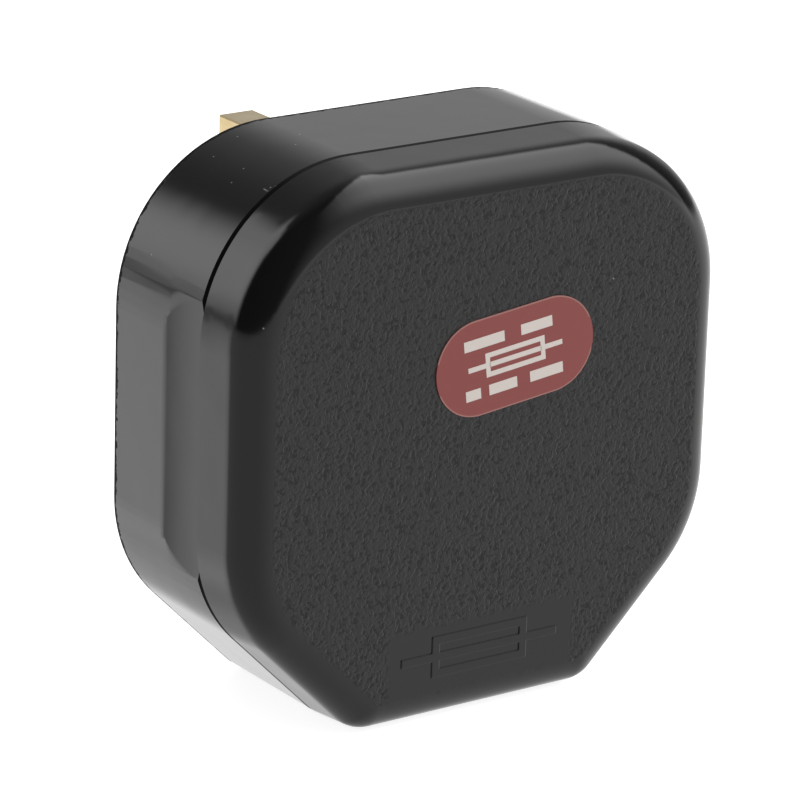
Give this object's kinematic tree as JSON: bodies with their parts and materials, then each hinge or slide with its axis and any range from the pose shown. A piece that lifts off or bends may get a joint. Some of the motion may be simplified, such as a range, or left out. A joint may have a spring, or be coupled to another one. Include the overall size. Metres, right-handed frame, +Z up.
{
  "type": "uk three pin plug",
  "caption": "Black rewirable three-pin fused mains plug with brass pins, sleeved line and neutral, cartridge fuse and cord grip.",
  "frame": {"origin": "on the pin face, on the centre line, level with the line and neutral pins", "axes": "+X right seen from the front, +Y out of the pin face along the pins, +Z up towards the earth pin"},
  "size_m": [0.055, 0.0448, 0.055],
  "materials": {
    "black_housing": "moulded, glossy sides, fine stipple on the front face",
    "pin_brass": "drawn and milled",
    "sleeve_nylon": "moulded satin",
    "clip_bronze": "rolled strip",
    "fuse_ceramic": "unglazed",
    "cap_nickel": "nickel plated",
    "screw_steel": "zinc plated",
    "grip_fibre": "punched vulcanised fibre",
    "label_red": "printed sticker"
  },
  "bodies": {
    "root": {"base": "black_housing", "cover": "black_housing", "earth_pin": "pin_brass", "neutral_pin": "pin_brass", "line_pin": "pin_brass", "neutral_pin_sleeve": "sleeve_nylon", "line_pin_sleeve": "sleeve_nylon", "line_terminal": "pin_brass", "fuse_clip_lower": "clip_bronze", "fuse_clip_upper": "clip_bronze", "fuse_clip_rivets": "clip_bronze", "fuse_tube": "fuse_ceramic", "fuse_element": "cap_nickel", "fuse_cap_lower": "cap_nickel", "fuse_cap_upper": "cap_nickel", "terminal_screws": "pin_brass", "cord_grip_strap": "grip_fibre", "cord_grip_screws": "screw_steel", "cover_screw": "screw_steel", "screw_washer": "grip_fibre", "cover_insert": "pin_brass", "rating_label": "label_red"}
  },
  "joints": []
}
